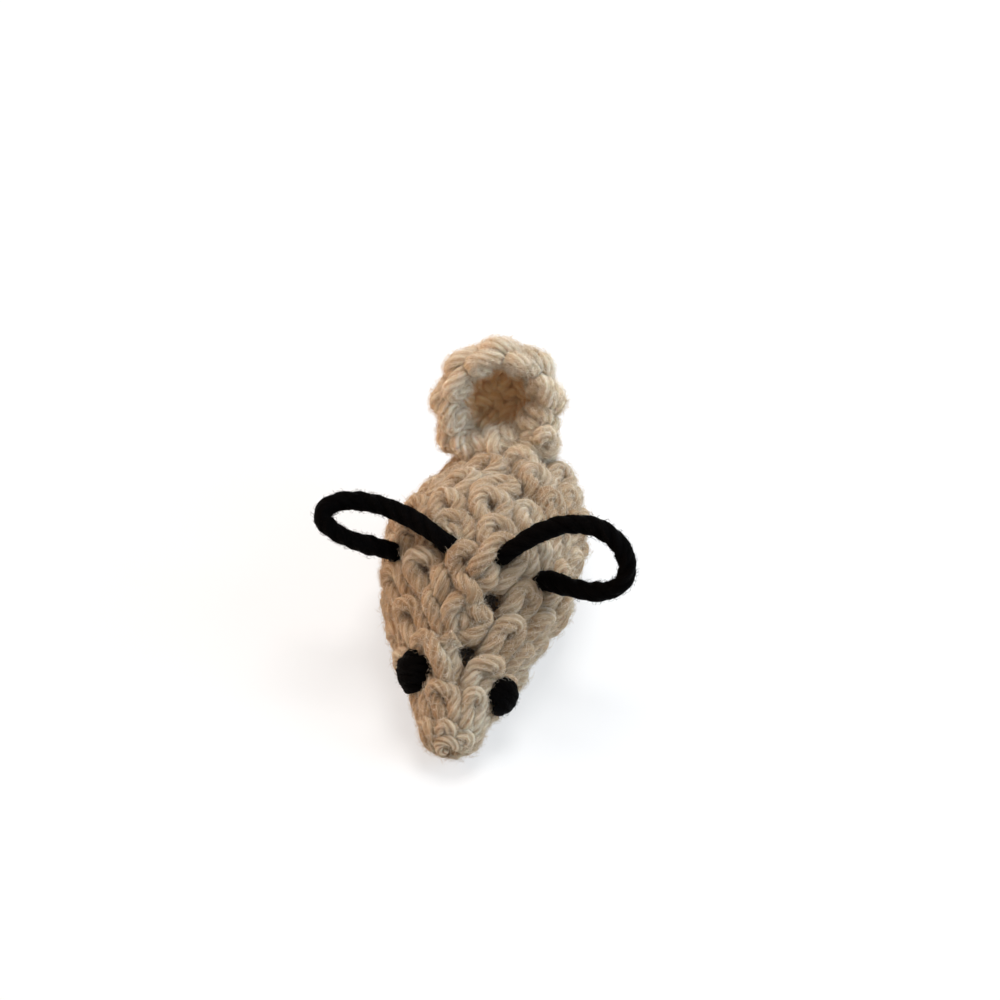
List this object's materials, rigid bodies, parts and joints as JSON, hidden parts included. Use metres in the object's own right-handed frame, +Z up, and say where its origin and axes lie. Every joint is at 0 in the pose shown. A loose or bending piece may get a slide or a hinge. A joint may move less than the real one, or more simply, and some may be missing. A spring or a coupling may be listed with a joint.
{
  "type": "crocheted catnip mouse",
  "caption": "Small stuffed crocheted mouse with looped yarn ears, wound yarn eyes and a crocheted strip tail that curls into a cup.",
  "frame": {"origin": "on the flat of the belly that the mouse rests on, half way along the body", "axes": "+Y from nose to tail, +X to the mouse's own left side, +Z up"},
  "size_m": [0.0386, 0.0503, 0.0272],
  "materials": {
    "cream_yarn": "matte plied cream yarn, single crochet, slightly fuzzy",
    "dark_yarn": "matte near-black plied yarn",
    "wadding": "loose fibre wadding",
    "catnip": "dry crumbled leaf"
  },
  "bodies": {
    "body": {"body_cover": "cream_yarn", "nose_ring": "cream_yarn", "closing_ring": "cream_yarn", "head_stuffing": "wadding", "catnip_fill": "catnip", "rump_stuffing": "wadding", "right_eye": "dark_yarn", "right_ear_knot": "dark_yarn", "left_eye": "dark_yarn", "left_ear_knot": "dark_yarn", "eye_thread": "dark_yarn", "ear_bridge": "dark_yarn"},
    "right_ear": {"right_ear": "dark_yarn"},
    "left_ear": {"left_ear": "dark_yarn"},
    "tail_stem": {"tail_stem": "cream_yarn"},
    "tail_curl": {"tail_curl": "cream_yarn"},
    "tail_tip": {"tail_tip": "cream_yarn"}
  },
  "joints": [
    {"name": "right_ear_tilt", "type": "hinge", "parent": "body", "child": "right_ear", "pos_m": [-0.00237, -0.00204, 0.01775], "axis": [0.8651, -0.196, 0.4618], "range_deg": [-12, 45], "stiffness_Nm_per_rad": 0.0006},
    {"name": "left_ear_tilt", "type": "hinge", "parent": "body", "child": "left_ear", "pos_m": [0.0032, -0.00245, 0.01732], "axis": [0.8503, 0.0145, -0.526], "range_deg": [-22, 40], "stiffness_Nm_per_rad": 0.0006},
    {"name": "tail_sway", "type": "hinge", "parent": "body", "child": "tail_stem", "pos_m": [0.00322, 0.0179, 0.01384], "axis": [0.0791, -0.52, 0.8505], "range_deg": [-20, 12], "stiffness_Nm_per_rad": 0.006},
    {"name": "tail_nod", "type": "hinge", "parent": "tail_stem", "child": "tail_curl", "pos_m": [0.00324, 0.02388, 0.01744], "axis": [-0.91, 0.3466, -0.2273], "range_deg": [-20, 50], "stiffness_Nm_per_rad": 0.004},
    {"name": "tail_tip_bend", "type": "hinge", "parent": "tail_curl", "child": "tail_tip", "pos_m": [-0.00346, 0.02534, 0.02343], "axis": [0.195, 0.5955, -0.7793], "range_deg": [0, 45], "stiffness_Nm_per_rad": 0.003}
  ]
}
